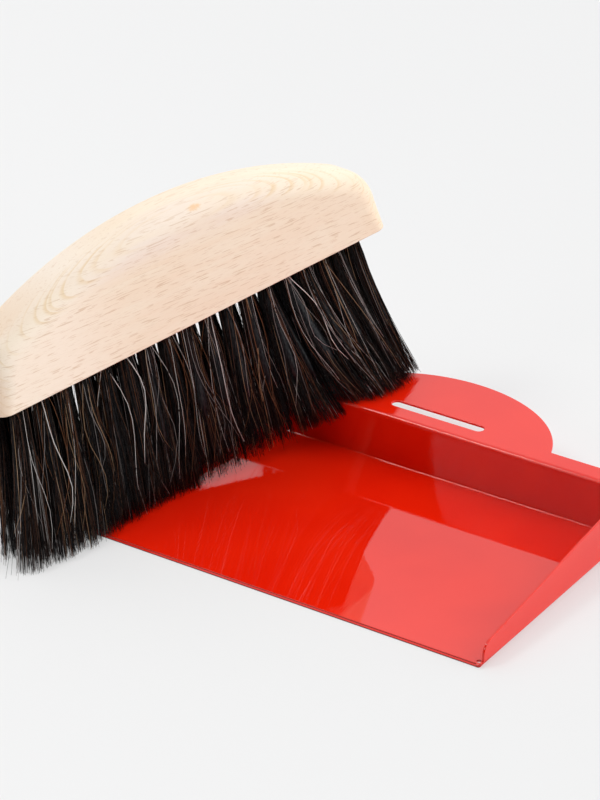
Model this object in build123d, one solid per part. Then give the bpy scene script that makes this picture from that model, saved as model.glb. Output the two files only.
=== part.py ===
from build123d import *
import math
import os

# Dustpan and brush. Millimetres, +Z up.
# The dustpan lies on z = 0. X runs along its front lip and Y from the lip to the
# handle. The origin is on the underside, at the middle of the dustpan's floor.
# The brush stands across the dustpan: its left end on the table in front of the
# lip, its right end on the handle flange.

# ---------------------------------------------------------------- dimensions
# dustpan, folded from one sheet (Y measured from the lip)
SHEET = 1.2              # sheet thickness
PAN_W = 240.0            # width over the side walls
PAN_D = 143.2            # lip to the back of the back wall
PAN_H = 29.0             # top of the handle flange
WALL_FRONT_H = 11.4      # height of the side wall, carried forward to the lip
WALL_START = 2.4         # the side walls start this far behind the lip
WALL_NOSE_R = 7.0        # rounded front end of the side walls
BEND_OUT = 2.2           # outside radius of a fold
BEND_IN = 1.0            # inside radius of a fold
LIP_DEPTH = 1.5          # depth of the thinned lip
LIP_EDGE = 0.6           # thickness of the lip's edge
LIP_CORNER_R = 1.6       # plan radius of the lip's corners
RELIEF_D = 2.6           # fold relief hole at each end of the lip
RELIEF_X = 116.6
RELIEF_Y = 3.6
FLANGE_BACK = 154.3      # back edge of the flange behind the back wall
TAB_CY = 138.7           # centre of the half-moon handle's outline
TAB_A = 71.0             # half-width of the handle
TAB_B = 58.3             # depth of the handle from its centre
SLOT_Y = 155.8           # hanging slot
SLOT_HALF = 27.6         # half its length over the rounded ends
SLOT_W = 6.0
EDGE_R = 0.3             # softened edge of the lacquered sheet

# brush block, a half-moon of beech
BLOCK_L = 246.0
BLOCK_T = 36.0
BLOCK_END_H = 15.0       # height of the straight ends
BLOCK_H = 62.3           # height at the crown
END_R = 24.0             # radius where the crown turns down into the ends
ROUND_R = 12.5           # roundover along the crown
CORNER_R = 7.0           # upright corners at the bottom face
FACE_R = 0.8             # softened edge of the bottom face

# bristle tufts, in the block's own frame: u along it, v to its front, w up
ROW_NAMES = ("front_row", "middle_row", "back_row")
ROW_V = (10.0, 0.0, -10.0)
PITCH = 12.85
# places along the block; the middle row is staggered by half a pitch, and the
# last four tufts of each row, at the right end, stand closer together
OUTER_U = [(i - 8.5) * PITCH for i in range(14)] + [69.6, 80.6, 91.5, 102.4]
INNER_U = [(i - 8.0) * PITCH for i in range(13)] + [63.7, 75.1, 86.0, 97.0]
ROW_U = (OUTER_U, INNER_U, OUTER_U)
HOLE_D = 9.0
HOLE_DEPTH = 16.0
TUFT_ROOT_D = 8.9
TUFT_TIP_D = 8.4
TUFT_TOP = 13.0          # a tuft reaches this far up its hole

# tuft anchors, flat wire across each hole, in the fold of the tuft
ANCHOR_W = 8.9
ANCHOR_T = 0.8
ANCHOR_H = 3.0
ANCHOR_AT = 9.0          # its lower edge, above the bottom face

# docking magnet, flush in the back face of the block
MAGNET_D = 18.0
MAGNET_T = 5.0
MAGNET_W = 30.0          # height of its centre above the bottom face

# pose of the brush: middle of the block's bottom face, from the lip's middle
BRUSH_AT = (-112.6, 87.4, 86.5)
BRUSH_YAW = 71.2         # direction of its length, from +X towards +Y
BRUSH_PITCH = 8.0        # its right end is the higher one
BRUSH_LEAN = 8.1         # its crown leans back, towards -v

# Where each tuft's tip stands from its root, as (u, v, w). The tufts are
# 85 mm long when free. Here they sweep forward, and those that stand on the
# table, on the floor of the dustpan or on its flange are pushed up and aside.
TIPS = (
    (
     (-21.1, 23.3, -73.3), (-19.4, 23.2, -75.4), (-16.9, 20.3, -77.1),
     (-14.5, 17.5, -77.7), (-11.5, 13.3, -79.4), (-8.9, 10.1, -81.0),
     (-7.4, 7.1, -82.7), (-5.7, 5.7, -84.5), (-4.3, 5.4, -84.7),
     (-3.0, 5.5, -84.8), (-2.0, 6.0, -84.8), (-0.5, 6.5, -84.7),
     (1.0, 14.0, -80.0), (11.0, 24.7, -72.1), (9.8, 27.6, -74.0),
     (7.7, 27.0, -75.2), (6.5, 25.0, -76.3), (6.3, 17.3, -76.7),
    ),
    (
     (-20.1, 24.5, -73.1), (-18.0, 23.0, -75.0), (-15.5, 21.1, -75.7),
     (-13.2, 17.7, -77.3), (-9.1, 14.5, -79.4), (-8.0, 12.2, -81.0),
     (-6.6, 10.2, -82.7), (-5.0, 9.5, -84.2), (-3.6, 9.3, -84.4),
     (-2.5, 9.4, -84.4), (-1.2, 10.0, -84.4), (1.2, 12.3, -84.1),
     (6.0, 30.0, -77.5), (6.7, -2.8, -84.7), (3.5, 0.5, -84.9),
     (2.6, 0.0, -85.0), (3.0, 0.0, -84.9),
    ),
    (
     (-20.8, 25.7, -70.9), (-19.1, 25.7, -72.9), (-16.9, 22.7, -74.6),
     (-16.1, 12.6, -75.0), (-11.5, 23.4, -77.9), (-9.2, 18.1, -79.3),
     (-7.5, 14.7, -80.9), (-5.6, 13.5, -82.8), (-4.2, 13.2, -83.8),
     (-2.9, 13.1, -83.9), (-2.0, 13.4, -83.9), (-0.5, 13.6, -83.9),
     (3.0, 17.2, -83.2), (0.0, -7.3, -63.2), (1.8, -9.5, -84.4),
     (2.4, -9.5, -84.4), (2.8, -9.5, -84.4), (3.1, -9.5, -84.4),
    ),
)

# ---------------------------------------------------------------- helpers
os.makedirs("parts", exist_ok=True)
MIN3 = (Align.MIN, Align.MIN, Align.MIN)


def block_at(x0, x1, y0, y1, z0, z1):
    return Pos(x0, y0, z0) * Box(x1 - x0, y1 - y0, z1 - z0, align=MIN3)


def extrude_yz(points_wire, x0, x1):
    """A closed wire drawn as (y, z) becomes a solid from x0 to x1."""
    face = Plane.YZ.offset(x0) * make_face(points_wire)
    return extrude(face, amount=x1 - x0)


# ---------------------------------------------------------------- dustpan
def make_pan():
    w, d, h, t = PAN_W, PAN_D, PAN_H, SHEET

    # floor, lower side walls and back wall, with their folds
    outer = block_at(-w / 2, w / 2, 0, d, 0, h)
    inner = block_at(-w / 2 + t, w / 2 - t, -20, d - t, t, h + 20)

    def low_edges(solid, z):
        found = []
        for e in solid.edges():
            b = e.bounding_box()
            if b.max.Z > z + 0.01 or b.min.Z < z - 0.01:
                continue
            if b.max.X - b.min.X > 100 and b.min.Y < 1:
                continue        # the open front
            found.append(e)
        return found

    outer = fillet(low_edges(outer, 0), BEND_OUT)
    inner = fillet(low_edges(inner, t), BEND_IN)
    tray = outer - inner

    # take the upright sheet away above the folds; it is put back in shape
    tray -= block_at(-w, w, -1, d - t, BEND_OUT, h + 5)
    tray -= block_at(-w, w, -1, d + 1, h - BEND_OUT, h + 5)

    # thinned lip, with rounded corners in plan
    wedge = Polyline((-1, t + 1), (LIP_DEPTH, t + 1), (LIP_DEPTH, t),
                     (0, LIP_EDGE), (-1, LIP_EDGE - (t - LIP_EDGE) / LIP_DEPTH), (-1, t + 1))
    tray -= extrude_yz(wedge, -w / 2 + BEND_OUT + 1.0, w / 2 - BEND_OUT - 1.0)
    for s in (-1, 1):
        cx, cy = s * (w / 2 - LIP_CORNER_R), LIP_CORNER_R
        corner = block_at(min(cx, s * w / 2 + s), max(cx, s * w / 2 + s), -1, cy, -1, BEND_OUT + 1)
        corner -= Pos(cx, cy, 0) * Cylinder(LIP_CORNER_R, 20)
        tray -= corner
        tray -= Pos(s * RELIEF_X, RELIEF_Y, 0) * Cylinder(RELIEF_D / 2, 10)

    # side walls: rounded nose, straight slope up to the flange
    y0, y1 = WALL_START, d
    slope = (h - WALL_FRONT_H) / (d - y0)
    z0 = WALL_FRONT_H
    ang = math.atan(slope)
    r = WALL_NOSE_R
    # arc tangent to the upright front edge and to the slope
    cy = y0 + r
    cz = z0 + slope * r - r / math.cos(ang)
    tip = (cy - r * math.sin(ang), cz + r * math.cos(ang))
    mid_a = math.pi - (math.pi / 2 - ang) / 2
    mid = (cy + r * math.cos(mid_a), cz + r * math.sin(mid_a))
    wall_wire = (
        Line((y1, BEND_OUT), (y0, BEND_OUT))
        + Line((y0, BEND_OUT), (y0, cz))
        + ThreePointArc((y0, cz), mid, tip)
        + Line(tip, (y1, h))
        + Line((y1, h), (y1, BEND_OUT))
    )
    for s in (-1, 1):
        x0 = -w / 2 if s < 0 else w / 2 - t
        wall = extrude_yz(wall_wire, x0, x0 + t)
        top = []
        for e in wall.edges():
            b = e.bounding_box()
            if b.max.X - b.min.X > 0.01:
                continue
            if b.min.Z > BEND_OUT + 0.5 and not (b.min.Y > y1 - 0.01):
                top.append(e)
        wall = fillet(top, EDGE_R)
        tray += wall

    # handle flange, its fold, the half-moon handle and the hanging slot
    yb = d + BEND_IN
    fold_wire = (
        Line((d - t, h - BEND_OUT), (d, h - BEND_OUT))
        + ThreePointArc((d, h - BEND_OUT),
                        (yb - BEND_IN * math.cos(math.pi / 4), h - BEND_OUT + BEND_IN * math.sin(math.pi / 4)),
                        (yb, h - t))
        + Line((yb, h - t), (yb, h))
        + ThreePointArc((yb, h),
                        (yb - BEND_OUT * math.cos(math.pi / 4), h - BEND_OUT + BEND_OUT * math.sin(math.pi / 4)),
                        (d - t, h - BEND_OUT))
    )
    fold = extrude_yz(fold_wire, -w / 2, w / 2)
    strip = Pos(0, (yb + FLANGE_BACK) / 2, 0) * Rectangle(w, FLANGE_BACK - yb)
    moon = Pos(0, TAB_CY, 0) * Ellipse(TAB_A, TAB_B)
    moon -= Pos(0, yb - 100, 0) * Rectangle(400, 200)
    slot = Pos(0, SLOT_Y, 0) * SlotOverall(2 * SLOT_HALF, SLOT_W)
    plate = extrude(Pos(0, 0, h - t) * (strip + moon - slot), amount=t)
    def rim(solid, z, also_flange):
        found = []
        for e in solid.edges():
            b = e.bounding_box()
            if b.max.Z > z + 0.01 or b.min.Z < z - 0.01:
                continue
            if b.max.Y < yb + 0.01:
                continue        # joins the fold
            if b.max.X - b.min.X < 0.01 and abs(b.min.X) > w / 2 - 0.1:
                continue        # ends of the flange, level with the side walls
            if not also_flange and b.max.Y < FLANGE_BACK + 0.01 and abs(b.min.X + b.max.X) > 2 * SLOT_HALF:
                continue
            found.append(e)
        return found

    plate = fillet(rim(plate, h, True), EDGE_R)
    plate = fillet(rim(plate, h - t, False), EDGE_R)

    return tray + fold + plate


# ---------------------------------------------------------------- brush block
def make_block():
    a, b = BLOCK_L / 2, BLOCK_H - BLOCK_END_H
    crown_r = ((a - END_R) ** 2 + b * b - END_R ** 2) / (2 * (b - END_R))
    c1 = (a - END_R, BLOCK_END_H)
    c2 = (0.0, BLOCK_H - crown_r)
    th = math.atan2(c1[1] - c2[1], c1[0] - c2[0])
    join = (c2[0] + crown_r * math.cos(th), c2[1] + crown_r * math.sin(th))
    m = th / 2
    mid = (c1[0] + END_R * math.cos(m), c1[1] + END_R * math.sin(m))

    def flip(p):
        return (-p[0], p[1])

    outline = (
        Line((-a, 0), (a, 0))
        + Line((a, 0), (a, BLOCK_END_H))
        + ThreePointArc((a, BLOCK_END_H), mid, join)
        + ThreePointArc(join, (0, BLOCK_H), flip(join))
        + ThreePointArc(flip(join), flip(mid), (-a, BLOCK_END_H))
        + Line((-a, BLOCK_END_H), (-a, 0))
    )
    face = Plane.XZ * make_face(outline)
    body = extrude(face, amount=BLOCK_T / 2, both=True)
    crown = []
    for e in body.edges():
        bb = e.bounding_box()
        if bb.max.Y - bb.min.Y > 0.01:
            continue
        if bb.max.Z < 0.01:
            continue
        crown.append(e)
    body = fillet(crown, ROUND_R)
    body -= block_at(-a - 5, a + 5, -BLOCK_T, BLOCK_T, -5, BLOCK_END_H)

    # the base, whose upright corners widen into the roundover
    low = RectangleRounded(BLOCK_L, BLOCK_T, CORNER_R)
    high = Pos(0, 0, BLOCK_END_H) * RectangleRounded(BLOCK_L, BLOCK_T, ROUND_R)
    base = loft([low, high])
    bottom = [e for e in base.edges() if e.bounding_box().max.Z < 0.01]
    base = fillet(bottom, FACE_R)
    body += base

    for v, places in zip(ROW_V, ROW_U):
        for u in places:
            body -= Pos(-u, v, -1) * Cylinder(HOLE_D / 2, HOLE_DEPTH + 1, align=(Align.CENTER, Align.CENTER, Align.MIN))
    seat = Pos(0, -BLOCK_T / 2, MAGNET_W) * Rot(90, 0, 0) * Cylinder(MAGNET_D / 2, 2 * MAGNET_T)
    return body - seat


def make_magnet():
    disc = Cylinder(MAGNET_D / 2, MAGNET_T, align=(Align.CENTER, Align.CENTER, Align.MIN))
    disc = chamfer([e for e in disc.edges() if e.bounding_box().max.Z > MAGNET_T - 0.01], 0.4)
    return Pos(0, -BLOCK_T / 2 + MAGNET_T, MAGNET_W) * Rot(90, 0, 0) * disc


# ---------------------------------------------------------------- tufts
def make_row(row):
    v = ROW_V[row]
    tufts, anchors = [], []
    for u, (du, dv, dw) in zip(ROW_U[row], TIPS[row]):
        x = -u
        rings = [
            Pos(x, v, TUFT_TOP) * Circle(TUFT_ROOT_D / 2),
            Pos(x, v, 0) * Circle(TUFT_ROOT_D / 2),
            Pos(x - du, v + dv, dw) * Circle(TUFT_TIP_D / 2),
        ]
        tuft = loft(rings, ruled=True)
        z0 = ANCHOR_AT
        tuft -= block_at(x - 6, x + 6, v - ANCHOR_T / 2, v + ANCHOR_T / 2, z0, z0 + ANCHOR_H)
        tufts.append(tuft.solids()[0])
        anchors.append(
            block_at(x - ANCHOR_W / 2, x + ANCHOR_W / 2, v - ANCHOR_T / 2, v + ANCHOR_T / 2, z0, z0 + ANCHOR_H).solids()[0]
        )
    return tufts, anchors


# ---------------------------------------------------------------- pose
def brush_frame():
    yaw, pitch, lean = (math.radians(x) for x in (BRUSH_YAW, BRUSH_PITCH, BRUSH_LEAN))
    u = Vector(math.cos(yaw) * math.cos(pitch), math.sin(yaw) * math.cos(pitch), math.sin(pitch))
    side = Vector(math.sin(yaw), -math.cos(yaw), 0)
    up = side.cross(u)
    if up.Z < 0:
        up = up * -1
    w = up * math.cos(lean) - side * math.sin(lean)
    x, y, z = BRUSH_AT
    return u, w, Vector(x, y - PAN_D / 2, z)


U, W, AT = brush_frame()
# the block's own frame: x runs from its right end to its left (x = -u), y to its front
POSE = Location(Plane(origin=AT, x_dir=U * -1, z_dir=W))


# ---------------------------------------------------------------- write
def write(name, solids):
    out = solids[0] if len(solids) == 1 else Compound(children=list(solids))
    export_step(out, "parts/" + name + ".step")
    print(name, len(solids), "solids, volume", round(sum(s.volume for s in solids), 1))


pan = Pos(0, -PAN_D / 2, 0) * make_pan()
write("dustpan_pan", pan.solids())
write("brush_block", (POSE * make_block()).solids())
write("docking_magnet", (POSE * make_magnet()).solids())
for row, name in enumerate(ROW_NAMES):
    tufts, anchors = make_row(row)
    write("tufts_" + name, [POSE * s for s in tufts])
    write("anchors_" + name, [POSE * s for s in anchors])
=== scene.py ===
import math

import bpy
import numpy as np
from mathutils import Matrix, Vector


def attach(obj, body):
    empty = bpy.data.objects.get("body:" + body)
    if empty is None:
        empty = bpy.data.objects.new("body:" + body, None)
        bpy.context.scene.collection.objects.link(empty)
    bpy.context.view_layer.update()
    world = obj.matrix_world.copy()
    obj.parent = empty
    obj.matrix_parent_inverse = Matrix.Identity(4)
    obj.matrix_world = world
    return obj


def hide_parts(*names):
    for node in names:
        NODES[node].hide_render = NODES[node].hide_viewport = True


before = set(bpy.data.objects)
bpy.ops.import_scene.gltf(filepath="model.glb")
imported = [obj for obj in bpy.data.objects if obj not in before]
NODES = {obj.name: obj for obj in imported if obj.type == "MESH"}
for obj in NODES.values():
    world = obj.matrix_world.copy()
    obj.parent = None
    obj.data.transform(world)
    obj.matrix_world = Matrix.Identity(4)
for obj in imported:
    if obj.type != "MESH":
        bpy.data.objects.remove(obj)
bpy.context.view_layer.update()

# The dustpan lies on z = 0 with the origin under the middle of its floor; the
# lip is at y = -LIP. The brush has its own frame: u along the block (left end to
# right end), v to its front, w up through its crown.
LIP = 0.0716
AT = np.array([-112.6, 87.4, 86.5])     # mm, y from the lip


def brush_axes(yaw=71.2, pitch=8.0, lean=8.1):
    yaw, pitch, lean = (math.radians(x) for x in (yaw, pitch, lean))
    u = np.array([math.cos(yaw) * math.cos(pitch), math.sin(yaw) * math.cos(pitch), math.sin(pitch)])
    side = np.array([math.sin(yaw), -math.cos(yaw), 0.0])
    up = np.cross(side, u)
    if up[2] < 0:
        up = -up
    return u, side * math.cos(lean) + up * math.sin(lean), up * math.cos(lean) - side * math.sin(lean)


U, V, W = brush_axes()
AT_M = Vector((AT[0] / 1000, AT[1] / 1000 - LIP, AT[2] / 1000))


# ------------------------------------------------------------------ node helper
class Mat:
    """A material built from nodes."""

    def __init__(self, name):
        self.m = bpy.data.materials.new(name)
        self.m.use_nodes = True
        self.t = self.m.node_tree
        self.t.nodes.clear()
        self.out = self.t.nodes.new("ShaderNodeOutputMaterial")
        self.p = self.t.nodes.new("ShaderNodeBsdfPrincipled")
        self.t.links.new(self.p.outputs[0], self.out.inputs["Surface"])

    def set(self, socket, value):
        if isinstance(value, bpy.types.NodeSocket):
            self.t.links.new(value, socket)
        elif isinstance(value, (tuple, list)) and socket.type == "RGBA" and len(value) == 3:
            socket.default_value = (*value, 1.0)
        else:
            socket.default_value = value

    def add(self, kind, props=None, **inputs):
        n = self.t.nodes.new(kind)
        for k, v in (props or {}).items():
            setattr(n, k, v)
        for k, v in inputs.items():
            key = int(k[1:]) if k[0] == "_" and k[1:].isdigit() else k.replace("_", " ")
            self.set(n.inputs[key], v)
        return n

    def math(self, op, a, b=0.0, c=None, clamp=False):
        n = self.t.nodes.new("ShaderNodeMath")
        n.operation = op
        n.use_clamp = clamp
        self.set(n.inputs[0], a)
        self.set(n.inputs[1], b)
        if c is not None:
            self.set(n.inputs[2], c)
        return n.outputs[0]

    def vec(self, op, a, b=(0.0, 0.0, 0.0)):
        n = self.t.nodes.new("ShaderNodeVectorMath")
        n.operation = op
        self.set(n.inputs[0], a)
        if op == "SCALE":
            self.set(n.inputs["Scale"], b)
        else:
            self.set(n.inputs[1], b)
        return n.outputs["Value"] if op in ("DOT_PRODUCT", "LENGTH", "DISTANCE") else n.outputs[0]

    def noise(self, vector, scale=1.0, detail=2.0, rough=0.5, distort=0.0, dims="3D"):
        n = self.add("ShaderNodeTexNoise", {"noise_dimensions": dims})
        self.set(n.inputs["Vector"], vector)
        n.inputs["Scale"].default_value = scale
        n.inputs["Detail"].default_value = detail
        n.inputs["Roughness"].default_value = rough
        n.inputs["Distortion"].default_value = distort
        return n.outputs[0]

    def ramp(self, fac, *stops):
        n = self.t.nodes.new("ShaderNodeValToRGB")
        r = n.color_ramp
        while len(r.elements) > 1:
            r.elements.remove(r.elements[-1])
        for k, (at, col) in enumerate(stops):
            e = r.elements[0] if k == 0 else r.elements.new(at)
            e.position = at
            col = (col, col, col) if isinstance(col, (int, float)) else col
            e.color = (*col, 1.0)
        self.set(n.inputs[0], fac)
        return n.outputs[0]

    def remap(self, x, a, b, c=0.0, d=1.0, smooth=True):
        n = self.add("ShaderNodeMapRange", {"interpolation_type": "SMOOTHSTEP" if smooth else "LINEAR", "clamp": True})
        for s, v in zip(n.inputs, (x, a, b, c, d)):
            self.set(s, v)
        return n.outputs[0]

    def mix(self, fac, a, b, kind="MIX"):
        n = self.add("ShaderNodeMix", {"data_type": "RGBA", "blend_type": kind})
        self.set(n.inputs[0], fac)
        self.set(n.inputs[6], a)
        self.set(n.inputs[7], b)
        return n.outputs[2]

    def combine(self, x, y, z):
        n = self.add("ShaderNodeCombineXYZ")
        for s, v in zip(n.inputs, (x, y, z)):
            self.set(s, v)
        return n.outputs[0]

    def bump(self, height, strength=0.2, distance=0.0002):
        n = self.add("ShaderNodeBump")
        n.inputs["Strength"].default_value = strength
        n.inputs["Distance"].default_value = distance
        self.set(n.inputs["Height"], height)
        self.set(self.p.inputs["Normal"], n.outputs[0])

    def where(self):
        """Object coordinates in metres: the row frame, carried with the body."""
        return self.add("ShaderNodeTexCoord").outputs["Object"]

    def where_brush(self):
        """(u, v, w) in millimetres."""
        q = self.vec("SUBTRACT", self.where(), tuple(AT_M))
        q = self.vec("SCALE", q, 1000.0)
        return tuple(self.vec("DOT_PRODUCT", q, tuple(float(x) for x in a)) for a in (U, V, W))


def dress(obj, *mats):
    obj.data.materials.clear()
    for m in mats:
        obj.data.materials.append(m)


# ------------------------------------------------------------------ red lacquer
def red_lacquer():
    k = Mat("red_lacquer")
    p = k.where()
    mm = k.vec("SCALE", p, 1000.0)
    broad = k.noise(mm, 0.018, 2.0)
    fine = k.noise(mm, 0.55, 3.0)
    base = k.mix(k.remap(broad, 0.3, 0.7), (0.755, 0.0105, 0.0012), (0.810, 0.0145, 0.0020))
    dust = k.remap(k.noise(mm, 1.3, 2.0, 0.6), 0.735, 0.80)
    base = k.mix(k.math("MULTIPLY", dust, 0.10), base, (0.90, 0.33, 0.27))
    rough = k.math("ADD", k.math("MULTIPLY", fine, 0.008), k.math("MULTIPLY", broad, 0.012))
    # handling marks: short faint scuffs that dull the gloss a little
    a = k.noise(k.vec("MULTIPLY", mm, (0.9, 0.035, 0.4)), 1.0, 3.0, 0.65)
    scuff = k.remap(a, 0.62, 0.76, 0.0, 0.03)
    k.set(k.p.inputs["Roughness"], k.math("ADD", k.math("ADD", rough, scuff), 0.006))
    k.p.inputs["IOR"].default_value = 1.5
    k.p.inputs["Specular IOR Level"].default_value = 0.5
    k.p.inputs["Coat Weight"].default_value = 0.0
    peel = k.math("ADD", k.noise(mm, 0.22, 1.0), k.math("MULTIPLY", fine, 0.06))
    # the sheet is not quite flat: it lifts a hair towards the lip
    split = k.add("ShaderNodeSeparateXYZ", None, Vector=mm)
    back = k.math("DIVIDE", k.math("SUBTRACT", split.outputs[1], -71.6), 60.0, clamp=True)
    lift = k.math("POWER", k.math("SUBTRACT", 1.0, back), 2.0)
    inside = k.math("MULTIPLY", k.remap(split.outputs[2], 0.9, 1.1), k.remap(split.outputs[2], 2.4, 1.6))
    lift = k.math("MULTIPLY", k.math("MULTIPLY", lift, inside), 0.00165)
    # painted shade: the lowest half millimetre of the lip's front edge is darkened, standing in for the contact shadow
    # along the table
    edge = k.math("MULTIPLY", k.remap(split.outputs[1], -71.35, -71.52), k.remap(split.outputs[2], 0.60, 0.40))
    k.set(k.p.inputs["Base Color"], k.mix(k.math("MULTIPLY", edge, 0.85), base, (0.13, 0.012, 0.010)))
    k.bump(k.math("ADD", k.math("MULTIPLY", peel, 0.0000042), lift), 1.0, 1.0)
    return k.m


# ------------------------------------------------------------------ beech
def beech():
    k = Mat("beech")
    u, v, w = k.where_brush()

    def at(a, b, c, shift=0.0):
        return k.combine(k.math("ADD", k.math("MULTIPLY", u, a), shift), k.math("MULTIPLY", v, b), k.math("MULTIPLY", wl, c))

    # the grain runs along the block and falls a little towards its right end
    wl = k.math("ADD", w, k.math("MULTIPLY", u, 0.055))
    # growth rings lie in sheets that lean across the block, so that the rounded
    # crown cuts them into nested arcs; each year ends in a thin darker line
    wander = k.math("MULTIPLY", k.math("SUBTRACT", k.noise(at(0.022, 0.07, 0.07), 1.0, 3.0, 0.55), 0.5), 2.0)
    q = k.math("ADD", k.math("ADD", w, k.math("MULTIPLY", v, 1.36)), wander)
    ring = None
    for level, strength in ((48.2, 0.7), (52.8, 0.35), (57.2, 0.75), (61.2, 0.9), (63.8, 1.0), (64.9, 0.7), (67.6, 0.95), (70.8, 1.0), (73.0, 0.55), (76.0, 0.35)):
        e = k.math("SUBTRACT", q, level)
        line = k.math("MULTIPLY", k.remap(e, -1.1, 0.0, 0.0, strength), k.remap(e, 0.0, 0.30, 1.0, 0.0))
        ring = line if ring is None else k.math("MAXIMUM", ring, line)
    year = k.math("FRACT", k.math("DIVIDE", k.math("ADD", q, 200.0), 4.4))
    rest = k.math("MULTIPLY", k.math("MULTIPLY", k.remap(year, 0.62, 0.94), k.remap(year, 0.95, 1.0, 1.0, 0.0)), k.remap(q, 46.0, 44.0, 0.0, 0.6))
    ring = k.math("MAXIMUM", ring, rest)
    broken = k.remap(k.noise(at(0.05, 0.16, 0.16, 3.0), 1.0, 2.0), 0.34, 0.54, 0.35, 1.0)
    ring = k.math("MULTIPLY", k.math("MULTIPLY", ring, broken), k.remap(v, 17.2, 18.0, 1.0, 0.14))
    ring = k.math("MULTIPLY", ring, k.remap(k.math("ABSOLUTE", v), 4.0, 10.5, 0.12, 1.0))
    # ray flecks: short thin dashes along the grain, thickest on the flat faces
    f1 = k.remap(k.noise(at(0.085, 0.45, 1.35), 1.0, 1.0, 0.35), 0.635, 0.680)
    f2 = k.remap(k.noise(at(0.13, 0.60, 2.0, 40.0), 1.0, 1.0, 0.35), 0.640, 0.695)
    f3 = k.remap(k.noise(at(0.30, 1.1, 2.9, 80.0), 1.0, 1.0, 0.4), 0.600, 0.700)
    flat = k.remap(k.math("ABSOLUTE", v), 13.0, 17.6, 0.42, 1.0)
    # fine pores, a broken hairline texture
    pore = k.noise(at(0.10, 4.0, 5.5), 1.0, 3.0, 0.6)
    cloud = k.noise(at(0.020, 0.06, 0.075, 9.0), 1.0, 3.0)
    band = k.noise(at(0.008, 0.22, 0.22, 5.0), 1.0, 2.0)
    pale = (0.905, 0.786, 0.630)
    warm = (0.890, 0.744, 0.584)
    base = k.mix(k.remap(cloud, 0.32, 0.68), pale, warm)
    base = k.mix(k.remap(band, 0.42, 0.66, 0.0, 0.30), base, (0.870, 0.690, 0.520))
    # painted light: the crown's front rounding is lightened towards the left end, where more light falls
    base = k.mix(k.math("MULTIPLY", k.remap(u, -30.0, -85.0), k.remap(v, 12.0, 17.5)), base, (0.945, 0.820, 0.685))
    # the sapwood of the crown is lighter
    light = k.math("MULTIPLY", k.remap(q, 62.0, 74.0), k.remap(k.noise(at(0.02, 0.1, 0.1, 21.0), 1.0, 2.0), 0.3, 0.6, 0.3, 0.85))
    base = k.mix(light, base, (0.880, 0.758, 0.665))
    # painted light: the crown is lightened towards the left end as well, where more light falls
    base = k.mix(k.math("MULTIPLY", k.remap(u, -20.0, -70.0, 0.0, 0.7), k.remap(v, 16.5, 8.0)), base, (0.940, 0.830, 0.725))
    base = k.mix(k.remap(pore, 0.35, 0.75, 0.0, 0.11), base, (0.74, 0.57, 0.41))
    base = k.mix(k.math("MULTIPLY", ring, 0.66), base, (0.790, 0.580, 0.335))
    base = k.mix(k.math("MULTIPLY", k.math("MULTIPLY", f1, flat), 0.46), base, (0.61, 0.40, 0.235))
    base = k.mix(k.math("MULTIPLY", k.math("MULTIPLY", f2, flat), 0.40), base, (0.61, 0.39, 0.225))
    base = k.mix(k.math("MULTIPLY", k.math("MULTIPLY", f3, flat), 0.12), base, (0.62, 0.45, 0.31))
    # a warmer flush towards both ends, and one small pin knot on the crown
    flush = k.math("MAXIMUM", k.math("MULTIPLY", k.remap(u, -58.0, -105.0), k.remap(v, 15.0, 4.0)), k.remap(u, 96.0, 122.0, 0.0, 0.55))
    base = k.mix(k.math("MULTIPLY", flush, 0.42), base, (0.860, 0.600, 0.385))
    base = k.mix(k.remap(u, -113.0, -121.5, 0.0, 0.55), base, (0.955, 0.655, 0.455))
    kn = k.combine(k.math("MULTIPLY", k.math("SUBTRACT", u, 12.5), 0.45), k.math("SUBTRACT", v, 14.6), k.math("SUBTRACT", w, 58.0))
    dist = k.math("ADD", k.vec("LENGTH", kn), k.math("MULTIPLY", k.math("SUBTRACT", k.noise(k.combine(u, v, w), 0.7, 2.0), 0.5), 2.6))
    base = k.mix(k.math("MULTIPLY", k.remap(dist, 2.4, 0.5), 0.62), base, (0.86, 0.50, 0.20))
    k.set(k.p.inputs["Base Color"], base)
    rough = k.math("ADD", k.math("MULTIPLY", pore, 0.14), k.math("ADD", k.math("MULTIPLY", f1, 0.08), 0.42))
    k.set(k.p.inputs["Roughness"], rough)
    k.p.inputs["Specular IOR Level"].default_value = 0.35
    height = k.math("SUBTRACT", k.math("MULTIPLY", pore, 0.25), k.math("ADD", k.math("MULTIPLY", f1, 0.6), k.math("MULTIPLY", f2, 0.3)))
    k.bump(height, 0.20, 0.00012)
    return k.m


# ------------------------------------------------------------------ metals
def turned_steel():
    """The bright magnet: nickel plate with faint circular polish."""
    k = Mat("magnet_nickel")
    u, v, w = k.where_brush()
    r = k.math("SQRT", k.math("ADD", k.math("MULTIPLY", u, u), k.math("POWER", k.math("SUBTRACT", w, 30.0), 2.0)))
    rings = k.noise(k.combine(r, 0.0, 0.0), 3.2, 3.0, 0.7)
    cloud = k.noise(k.combine(u, v, w), 0.3, 2.0)
    k.set(k.p.inputs["Base Color"], k.mix(rings, (0.56, 0.55, 0.53), (0.72, 0.71, 0.69)))
    k.p.inputs["Metallic"].default_value = 1.0
    k.set(k.p.inputs["Roughness"], k.math("ADD", k.math("MULTIPLY", rings, 0.14), k.math("ADD", k.math("MULTIPLY", cloud, 0.12), 0.10)))
    k.bump(rings, 0.15, 0.00005)
    return k.m


def anchor_wire():
    k = Mat("anchor_wire")
    u, v, w = k.where_brush()
    drawn = k.noise(k.combine(k.math("MULTIPLY", u, 0.2), k.math("MULTIPLY", v, 4.0), k.math("MULTIPLY", w, 4.0)), 1.0, 3.0, 0.6)
    k.set(k.p.inputs["Base Color"], k.mix(drawn, (0.42, 0.42, 0.43), (0.60, 0.60, 0.61)))
    k.p.inputs["Metallic"].default_value = 1.0
    k.set(k.p.inputs["Roughness"], k.math("ADD", k.math("MULTIPLY", drawn, 0.2), 0.28))
    return k.m


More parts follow.
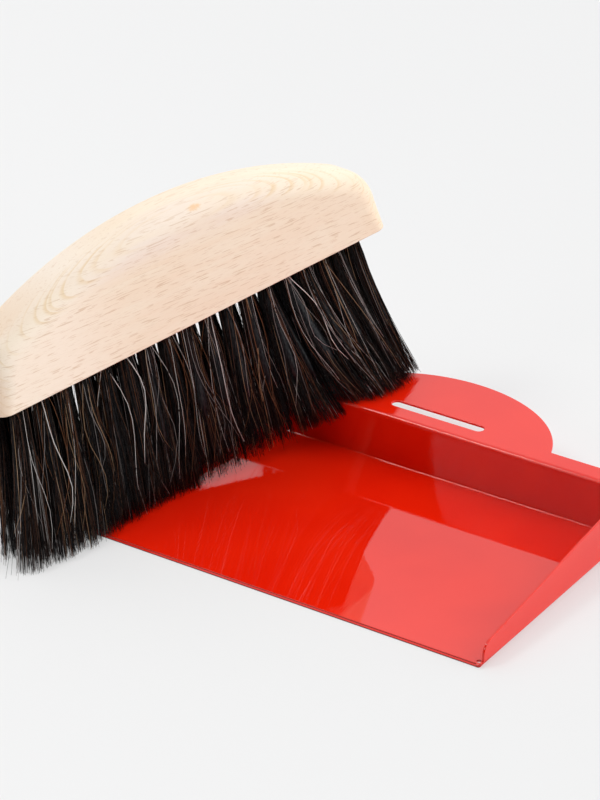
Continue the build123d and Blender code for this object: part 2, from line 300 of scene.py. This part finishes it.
# ------------------------------------------------------------------ horsehair
# One finish per natural tone of the hair. The hair is a mix, so the colour
# changes from strand to strand; along a strand only its sheen changes.
TONES = [
    # name, colour, roughness, share
    ("hair_black_blue", (0.0040, 0.0040, 0.0056), 0.36, 0.26),
    ("hair_black", (0.0048, 0.0030, 0.0029), 0.38, 0.31),
    ("hair_black_brown", (0.0130, 0.0056, 0.0042), 0.40, 0.23),
    ("hair_dark_brown", (0.046, 0.0180, 0.0115), 0.44, 0.105),
    ("hair_brown", (0.120, 0.052, 0.030), 0.46, 0.045),
    ("hair_chestnut", (0.230, 0.095, 0.045), 0.48, 0.018),
    ("hair_tan", (0.46, 0.285, 0.165), 0.48, 0.010),
    ("hair_grey", (0.36, 0.320, 0.310), 0.42, 0.016),
    ("hair_silver", (0.84, 0.79, 0.76), 0.38, 0.006),
]


def hair_tone(name, colour, rough):
    k = Mat(name)
    k.p.inputs["Base Color"].default_value = (*colour, 1.0)
    k.p.inputs["Roughness"].default_value = rough
    p = k.vec("SCALE", k.where(), 1000.0)
    # the cuticle's sheen breaks up along the strand
    n = k.noise(k.vec("MULTIPLY", p, (1.6, 1.6, 0.22)), 1.0, 2.0, 0.6)
    k.set(k.p.inputs["Specular IOR Level"], k.remap(n, 0.30, 0.70, 0.04, 0.34))
    return k.m


# tips of the tufts from their roots, (u, v, w) in mm, one row after the other
TIPS = (
    ((-21.1, 23.3, -73.3), (-19.4, 23.2, -75.4), (-16.9, 20.3, -77.1), (-14.5, 17.5, -77.7),
     (-11.5, 13.3, -79.4), (-8.9, 10.1, -81.0), (-7.4, 7.1, -82.7), (-5.7, 5.7, -84.5),
     (-4.3, 5.4, -84.7), (-3.0, 5.5, -84.8), (-2.0, 6.0, -84.8), (-0.5, 6.5, -84.7),
     (1.0, 14.0, -80.0), (11.0, 24.7, -72.1), (9.8, 27.6, -74.0), (7.7, 27.0, -75.2),
     (6.5, 25.0, -76.3), (6.3, 17.3, -76.7)),
    ((-20.1, 24.5, -73.1), (-18.0, 23.0, -75.0), (-15.5, 21.1, -75.7), (-13.2, 17.7, -77.3),
     (-9.1, 14.5, -79.4), (-8.0, 12.2, -81.0), (-6.6, 10.2, -82.7), (-5.0, 9.5, -84.2),
     (-3.6, 9.3, -84.4), (-2.5, 9.4, -84.4), (-1.2, 10.0, -84.4), (1.2, 12.3, -84.1),
     (6.0, 30.0, -77.5), (6.7, -2.8, -84.7), (3.5, 0.5, -84.9), (2.6, 0.0, -85.0),
     (3.0, 0.0, -84.9)),
    ((-20.8, 25.7, -70.9), (-19.1, 25.7, -72.9), (-16.9, 22.7, -74.6), (-16.1, 12.6, -75.0),
     (-11.5, 23.4, -77.9), (-9.2, 18.1, -79.3), (-7.5, 14.7, -80.9), (-5.6, 13.5, -82.8),
     (-4.2, 13.2, -83.8), (-2.9, 13.1, -83.9), (-2.0, 13.4, -83.9), (-0.5, 13.6, -83.9),
     (3.0, 17.2, -83.2), (0.0, -7.3, -63.2), (1.8, -9.5, -84.4), (2.4, -9.5, -84.4),
     (2.8, -9.5, -84.4), (3.1, -9.5, -84.4)),
)
ROWS = (("front_row", 10.0, 18), ("middle_row", 0.0, 17), ("back_row", -10.0, 18))
PITCH = 12.85
# places of the tufts along the block; the last four of each row stand closer
OUTER_U = [(i - 8.5) * PITCH for i in range(14)] + [69.6, 80.6, 91.5, 102.4]
INNER_U = [(i - 8.0) * PITCH for i in range(13)] + [63.7, 75.1, 86.0, 97.0]
ROW_U = (OUTER_U, INNER_U, OUTER_U)
STRANDS = (340, 230, 300)
K = 9                                  # points along a strand


def to_world(p):
    """(u, v, w) mm to (x, y from the lip, z) mm."""
    return AT + p[..., :1] * U + p[..., 1:2] * V + p[..., 2:3] * W


def settle(p, perch):
    """Keeps strands (n, K, 3), mm, y from the lip, off the table, the tray, its walls and its flange. perch: the tuft stands on the flange."""
    x, y, z = p[..., 0], p[..., 1], p[..., 2]
    tx, ty = x[:, -1:], y[:, -1:]
    inside = (ty > 1.0) & (ty < 143.0) & (tx > -119.4) & ~perch
    outside = (ty > 1.0) & (ty < 154.0) & (tx <= -119.4) & ~perch
    low = z < 31.0
    # in the tray: clear of the side wall and of the back wall
    x = np.where(inside & low, np.maximum(x, -118.3), x)
    y = np.where(inside & low, np.minimum(y, 141.5), y)
    # left of the side wall
    x = np.where(outside & low & (y > 1.0), np.minimum(x, -120.5), x)
    # behind the flange
    tab = 71.4 * np.sqrt(np.clip(1 - ((y - 138.7) / 58.7) ** 2, 0, 1))
    hang = (ty >= 143.0) & ~perch
    y = np.where(hang & low & (np.abs(x) > tab), np.maximum(y, 154.9), y)
    x = np.where(hang & low & (np.abs(x) <= tab) & (x < 0), -tab - 0.3, x)
    # what a point rests on
    over_tray = (x > -120.2) & (x < 120.2) & (y > -0.4) & (y < 143.0)
    rest = np.where(over_tray, 1.45, 0.25)
    z = np.maximum(z, rest)
    z = np.where(perch & (z < 29.45), 29.45, z)
    return np.stack([x, y, z], -1)


def strand_mesh(name, lines, radii, tones, mats, core_parts):
    """One mesh of three-sided strands, closed at both ends, and of the tufts' dark cores."""
    n, kk, _ = lines.shape
    t = np.gradient(lines, axis=1)
    t /= np.linalg.norm(t, axis=-1, keepdims=True) + 1e-12
    ref = np.array(U)
    a = np.cross(t, ref)
    a /= np.linalg.norm(a, axis=-1, keepdims=True) + 1e-12
    b = np.cross(t, a)
    ang = np.arange(3) * 2 * math.pi / 3
    ring = (
        lines[:, :, None, :]
        + radii[:, :, None, None] * (np.cos(ang)[None, None, :, None] * a[:, :, None, :] + np.sin(ang)[None, None, :, None] * b[:, :, None, :])
    )
    verts = ring.reshape(-1, 3)
    base = (np.arange(n) * kk * 3)[:, None, None]
    j = np.arange(kk - 1)[None, :, None]
    s = np.arange(3)[None, None, :]
    s2 = (s + 1) % 3
    q = np.stack([base + j * 3 + s, base + j * 3 + s2, base + (j + 1) * 3 + s2, base + (j + 1) * 3 + s], -1).reshape(-1, 4)
    caps = np.concatenate([
        np.stack([base[:, 0, 0] + 2, base[:, 0, 0] + 1, base[:, 0, 0]], -1),
        np.stack([base[:, 0, 0] + (kk - 1) * 3, base[:, 0, 0] + (kk - 1) * 3 + 1, base[:, 0, 0] + (kk - 1) * 3 + 2], -1),
    ])
    quad_tone = np.repeat(tones, (kk - 1) * 3)
    cap_tone = np.concatenate([tones, tones])
    vs, quads, tris, qm, tm = [verts], [q], [caps], [quad_tone], [cap_tone]
    off = len(verts)
    for centre, rad in core_parts:
        m = len(centre)
        side = 12
        tt = np.gradient(centre, axis=0)
        tt /= np.linalg.norm(tt, axis=-1, keepdims=True)
        ca = np.cross(tt, ref)
        ca /= np.linalg.norm(ca, axis=-1, keepdims=True)
        cb = np.cross(tt, ca)
        g = np.arange(side) * 2 * math.pi / side
        rr = centre[:, None, :] + (rad[:, 0, None, None] * np.cos(g)[None, :, None] * ca[:, None, :] + rad[:, 1, None, None] * np.sin(g)[None, :, None] * cb[:, None, :])
        vs.append(rr.reshape(-1, 3))
        jj = np.arange(m - 1)[:, None]
        ss = np.arange(side)[None, :]
        ss2 = (ss + 1) % side
        quads.append(np.stack([off + jj * side + ss, off + jj * side + ss2, off + (jj + 1) * side + ss2, off + (jj + 1) * side + ss], -1).reshape(-1, 4))
        qm.append(np.zeros((m - 1) * side, int))
        fan = np.arange(1, side - 1)
        tris.append(np.stack([np.full(side - 2, off), off + fan + 1, off + fan], -1))
        last = off + (m - 1) * side
        tris.append(np.stack([np.full(side - 2, last), last + fan, last + fan + 1], -1))
        tm.append(np.zeros(2 * (side - 2), int))
        off += m * side
    verts = np.concatenate(vs)
    quads = np.concatenate(quads)
    tris = np.concatenate(tris)
    qm = np.concatenate(qm)
    tm = np.concatenate(tm)
    out = np.empty_like(verts)
    out[:, 0] = verts[:, 0] / 1000
    out[:, 1] = verts[:, 1] / 1000 - LIP
    out[:, 2] = verts[:, 2] / 1000
    me = bpy.data.meshes.new(name)
    me.vertices.add(len(out))
    me.vertices.foreach_set("co", out.astype(np.float32).ravel())
    nq, nt = len(quads), len(tris)
    me.loops.add(nq * 4 + nt * 3)
    me.loops.foreach_set("vertex_index", np.concatenate([quads.ravel(), tris.ravel()]).astype(np.int32))
    me.polygons.add(nq + nt)
    start = np.concatenate([np.arange(nq) * 4, nq * 4 + np.arange(nt) * 3]).astype(np.int32)
    me.polygons.foreach_set("loop_start", start)
    me.polygons.foreach_set("material_index", np.concatenate([qm, tm]).astype(np.int32))
    me.polygons.foreach_set("use_smooth", np.ones(nq + nt, bool))
    for m in mats:
        me.materials.append(m)
    me.update(calc_edges=True)
    me.validate()
    o = bpy.data.objects.new(name, me)
    bpy.context.scene.collection.objects.link(o)
    return o


def grow_tuft(rng, row, i, u0, v0, count):
    """The strands of one tuft: lines (n, K, 3) mm, radii (n, K), tone index (n)."""
    d = np.array(TIPS[row][i])
    world_tip = to_world(np.array([u0, v0, 0.0]) + d)
    perch = bool(world_tip[2] > 28.0)
    free = bool(world_tip[2] > 2.6 and not perch)
    tray = bool(free and world_tip[1] < 143.0)
    n = count
    r = np.sqrt(rng.random(n))
    phi = rng.random(n) * 2 * math.pi
    root = np.stack([r * np.cos(phi), r * np.sin(phi)], -1)          # unit disc
    # the tip disc: nearly the root disc grown, stirred and drawn into locks
    ru, rv = 7.9, 6.6
    if tray:
        rv = 4.6
    if perch:
        ru, rv = 7.6, 7.4
    tip = root + rng.normal(0, 0.13, (n, 2))
    locks = rng.random((7, 2)) * 2 - 1
    locks /= np.maximum(1.0, np.linalg.norm(locks, axis=1, keepdims=True))
    near = np.argmin(((tip[:, None] - locks[None]) ** 2).sum(-1), axis=1)
    tip = tip * 0.74 + locks[near] * 0.26
    tip = tip * np.array([ru, rv])
    last = u0 > 85.0
    loose = rng.random(n) < (0.06 if last else 0.20)
    tip += np.where(loose[:, None], rng.normal(0, 1, (n, 2)) * np.array([2.0 if last else 4.4, 1.6]), 0.0)
    if u0 > 95.0:
        tip[:, 0] = np.minimum(tip[:, 0], 4.6)
    if i == 0:
        tip[:, 0] = tip[:, 0] * 1.25 - 2.2
    length = 1.0 + rng.normal(0, 0.007, n) - np.where(rng.random(n) < 0.10, rng.random(n) * 0.10, 0.0)
    # centre of the tips
    cu, cv, cw = d
    end = np.stack([cu + tip[:, 0], cv + tip[:, 1], np.full(n, cw)], -1)
    if tray:
        # rows drawn together; the trim slopes up to the back
        pull = (0.0, 0.8, 2.4)[row]
        end[:, 1] += pull
        v_tip = v0 + end[:, 1]
        end[:, 2] = -85.6 + 0.80 * np.clip(20.0 - v_tip, -3.0, 40.0) + max(0.0, cw + 84.8) * 0.9
        end[:, 2] += rng.normal(0, 0.45, n) + 2.2 * np.clip((u0 - 22.0) / 22.0, 0, 1)
        length = 1.0 - np.where(rng.random(n) < 0.08, rng.random(n) * 0.08, 0.0)
    t = np.linspace(0.0, 1.0, K)[None, :]
    bend = (1.22 + 0.25 * rng.random(n))[:, None]
    if perch:
        bend = bend + 0.22
    g = t ** bend
    lat = end[:, None, :2] * g[..., None]
    flare = 4.4 if u0 < -44.0 else 3.9 if u0 < -4.0 else 3.5 if u0 < 66.0 else 4.2
    flare = flare + (1.1 if u0 > 66.0 else 0.15) * np.clip(t * 8.0, 0.0, 1.0)
    spread = root[:, None, :] * (flare * (1 - g))[..., None]
    line = np.empty((n, K, 3))
    line[..., 0] = u0 + lat[..., 0] + spread[..., 0]
    line[..., 1] = v0 + lat[..., 1] + spread[..., 1]
    line[..., 2] = 1.2 + (end[:, 2:3] - 1.2) * t * length[:, None]
    # every hair has its own slight wave, and a few have a strong one
    strong = rng.random(n) < (0.01 if last else 0.05)
    amp = np.where(strong, 1.6 + 2.6 * rng.random(n), 0.25 + 0.55 * rng.random(n))[:, None]
    ph, fr = rng.random(n)[:, None] * 6.28, (0.7 + 0.8 * rng.random(n))[:, None]
    wave = (np.sin(ph + fr * t * math.pi) - np.sin(ph)) * amp * np.clip(t * 1.4, 0, 1)
    wd = rng.random(n) * 6.28
    line[..., 0] += wave * np.cos(wd)[:, None]
    line[..., 1] += wave * np.sin(wd)[:, None] * 0.6
    # nothing strays into the wood
    line[..., 2] = np.where(t > 0.01, np.minimum(line[..., 2], -0.4), line[..., 2])
    p = settle(to_world(line), perch)
    thick = (0.135 + 0.04 * rng.random(n))[:, None]
    radii = thick * (1.0 - 0.55 * t ** 3)
    tones = rng.choice(len(TONES), n, p=np.array([x[3] for x in TONES]) / sum(x[3] for x in TONES))
    # the dark heart of the tuft, which no light passes
    tc = np.linspace(0.0, 0.80, 9)
    gc = tc ** 1.32
    mean_end = end.mean(0)
    top = mean_end[2] if not tray else end[:, 2].max() + 3.0
    cl = np.stack([u0 + mean_end[0] * gc, v0 + mean_end[1] * gc, 1.0 + (top - 1.0) * tc], -1)
    shape = np.clip((0.80 - tc) / 0.16, 0.08, 1.0) ** 0.6
    rad = np.stack([(3.3 + (ru * 0.62 - 3.3) * gc) * shape, (3.3 + (rv * 0.60 - 3.3) * gc) * shape], -1)
    core = (settle(to_world(cl)[None], perch)[0], rad)
    return p, radii, tones, core


def grow_strays(rng, row, u0, v0, i, count):
    """Long pale and brown hairs that curl over the front of the tufts."""
    d = np.array(TIPS[row][i])
    perch = bool(to_world(np.array([u0, v0, 0.0]) + d)[2] > 28.0)
    last = u0 > 85.0
    n = count
    t = np.linspace(0.0, 1.0, K)[None, :]
    sign = 1.0 if row == 0 else -1.0
    ru = rng.normal(0, 1.6, n)[:, None]
    rv = sign * (3.3 + 0.8 * rng.random(n))[:, None]
    side = np.clip((u0 + 10.0) / 110.0, -1, 1)
    eu = (d[0] + rng.normal(0, 2.0 if last else 6.0, n) + (0.0 if last else side * 3.0))[:, None]
    if last:
        eu = np.minimum(eu, d[0] + 2.0)
    ev = (d[1] + sign * (5.2 + 2.4 * rng.random(n)))[:, None]
    reach = (0.62 + 0.37 * rng.random(n))[:, None]
    g = t ** (1.15 + 0.5 * rng.random(n))[:, None]
    # a bow to one side and a curl in the lower half
    arch = rng.normal(0, 0.8 if last else 3.6, n)[:, None] * np.sin(t * math.pi)
    weave = rng.normal(0.5, 1.3, n)[:, None]
    curl = rng.normal(0, 0.4 if last else 3.2, n)[:, None] * np.sin(t * math.pi * (1.6 + 0.8 * rng.random(n))[:, None]) * t
    line = np.empty((n, K, 3))
    line[..., 0] = u0 + ru * (1 - g) + eu * g * reach + arch + curl
    line[..., 1] = v0 + rv * (1 - g) + ev * g * reach + sign * weave * np.sin(t * math.pi)
    line[..., 2] = 0.8 + (d[2] - 0.8) * t * reach
    line[..., 2] = np.where(t > 0.01, np.minimum(line[..., 2], -0.4), line[..., 2])
    p = settle(to_world(line), perch)
    warm = np.clip((-u0 - 20.0) / 80.0, 0.0, 1.0)
    share = np.array([0.10, 0.20, 0.15 + 0.08 * warm, 0.16 + 0.12 * warm, 0.20, 0.19])
    tones = rng.choice([3, 4, 5, 6, 7, 8], n, p=share / share.sum())
    radii = (0.10 + 0.08 * rng.random(n) + 0.03 * (tones >= 6))[:, None] * (1.0 - 0.6 * t ** 3)
    radii *= np.where(rng.random(n) < 0.24, 1.6, 0.92)[:, None]
    return p, radii, tones


def make_hair():
    rng = np.random.default_rng(41)
    mats = [hair_tone(n, c, r) for n, c, r, _ in TONES]
    for row, (label, v0, count) in enumerate(ROWS):
        halves = [[], []]
        for i in range(count):
            u0 = ROW_U[row][i]
            p, rad, tone, core = grow_tuft(rng, row, i, u0, v0, STRANDS[row])
            parts = [(p, rad, tone)]
            if row != 1:
                parts.append(grow_strays(rng, row, u0, v0, i, 7 if row == 0 else 4))
            halves[0 if u0 < 0 else 1].append((parts, core))
        for half, side in zip(halves, ("left", "right")):
            lines = np.concatenate([q[0] for parts, _ in half for q in parts])
            radii = np.concatenate([q[1] for parts, _ in half for q in parts])
            tones = np.concatenate([q[2] for parts, _ in half for q in parts])
            o = strand_mesh("horsehair_%s_%s" % (label, side), lines, radii, tones, mats, [c for _, c in half])
            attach(o, "brush")
            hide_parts("tufts_" + label)


# ------------------------------------------------------------------ studio
def studio():
    me = bpy.data.meshes.new("studio_floor")
    s = 9.0
    me.from_pydata([(-s, -s, 0), (s, -s, 0), (s, s, 0), (-s, s, 0)], [], [(0, 1, 2, 3)])
    floor = bpy.data.objects.new("studio_floor", me)
    bpy.context.scene.collection.objects.link(floor)
    k = Mat("studio_paper")
    n = k.noise(k.where(), 3.0, 3.0)
    k.set(k.p.inputs["Base Color"], k.mix(n, (0.425, 0.427, 0.430), (0.435, 0.437, 0.438)))
    k.p.inputs["Roughness"].default_value = 0.9
    k.p.inputs["Specular IOR Level"].default_value = 0.1
    # a light table: half of its brightness comes through it
    k.p.inputs["Emission Color"].default_value = (1.0, 1.0, 1.0, 1.0)
    k.p.inputs["Emission Strength"].default_value = 0.386
    me.materials.append(k.m)

    # an even white room, darker on the near side, behind the camera
    world = bpy.data.worlds.new("studio")
    world.use_nodes = True
    nt = world.node_tree
    bg = nt.nodes["Background"]
    where = nt.nodes.new("ShaderNodeTexCoord")
    split = nt.nodes.new("ShaderNodeSeparateXYZ")
    nt.links.new(where.outputs["Generated"], split.inputs[0])

    def node_math(op, a, b):
        n = nt.nodes.new("ShaderNodeMath")
        n.operation = op
        for socket, value in zip(n.inputs, (a, b)):
            if isinstance(value, bpy.types.NodeSocket):
                nt.links.new(value, socket)
            else:
                socket.default_value = value
        return n.outputs[0]

    def step(x, a, b, c, d):
        n = nt.nodes.new("ShaderNodeMapRange")
        n.interpolation_type = "SMOOTHSTEP"
        nt.links.new(x, n.inputs[0])
        for socket, value in zip(list(n.inputs)[1:5], (a, b, c, d)):
            socket.default_value = value
        return n.outputs[0]

    near = step(split.outputs["Y"], -0.04, -0.55, 0.0, 1.0)
    low = step(split.outputs["Z"], 0.70, 0.94, 1.0, 0.0)
    side = step(split.outputs["X"], 0.30, 0.85, 0.0, 1.16)
    level = node_math("ADD", 1.19, side)
    level = node_math("MULTIPLY", level, node_math("SUBTRACT", 1.0, node_math("MULTIPLY", node_math("MULTIPLY", near, low), 0.97)))
    nt.links.new(level, bg.inputs[1])
    bg.inputs[0].default_value = (1.0, 1.0, 1.0, 1.0)
    bpy.context.scene.world = world

    def area(name, at, to, size, power):
        lamp = bpy.data.lights.new(name, "AREA")
        lamp.shape = "DISK"
        lamp.size = size
        lamp.energy = power
        o = bpy.data.objects.new(name, lamp)
        o.location = at
        o.rotation_mode = "QUATERNION"
        o.rotation_quaternion = (Vector(to) - Vector(at)).to_track_quat("-Z", "Y")
        bpy.context.scene.collection.objects.link(o)
        return o

    # the softbox at the front left, whose edge shows in the back wall by way of the floor
    area("softbox_front_left", (-0.846, -1.85, 1.14), (0, 0, 0.02), 0.52, 2.25)
    # the small bright one overhead draws the highlights along the folds
    area("softbox_high", (-1.07, -0.77, 1.76), (0, 0, 0.02), 0.60, 8.2)

    cam = bpy.data.cameras.new("camera")
    cam.sensor_fit = "VERTICAL"
    cam.sensor_height = 36.0
    cam.lens = 3454.6 * 36.0 / 800.0
    cam.clip_start, cam.clip_end = 0.05, 60.0
    o = bpy.data.objects.new("camera", cam)
    bpy.context.scene.collection.objects.link(o)
    o.location = (0.80648, -1.26524, 0.88702)
    look = Vector((-0.05774, 0.04217, 0.040)) - Vector(o.location)
    o.rotation_mode = "QUATERNION"
    o.rotation_quaternion = look.to_track_quat("-Z", "Y")
    bpy.context.scene.camera = o
    bpy.context.scene.view_settings.view_transform = "Standard"


studio()
dress(NODES["dustpan_pan"], red_lacquer())
dress(NODES["brush_block"], beech())
dress(NODES["docking_magnet"], turned_steel())
wire = anchor_wire()
for row in ("front_row", "middle_row", "back_row"):
    dress(NODES["anchors_" + row], wire)
make_hair()
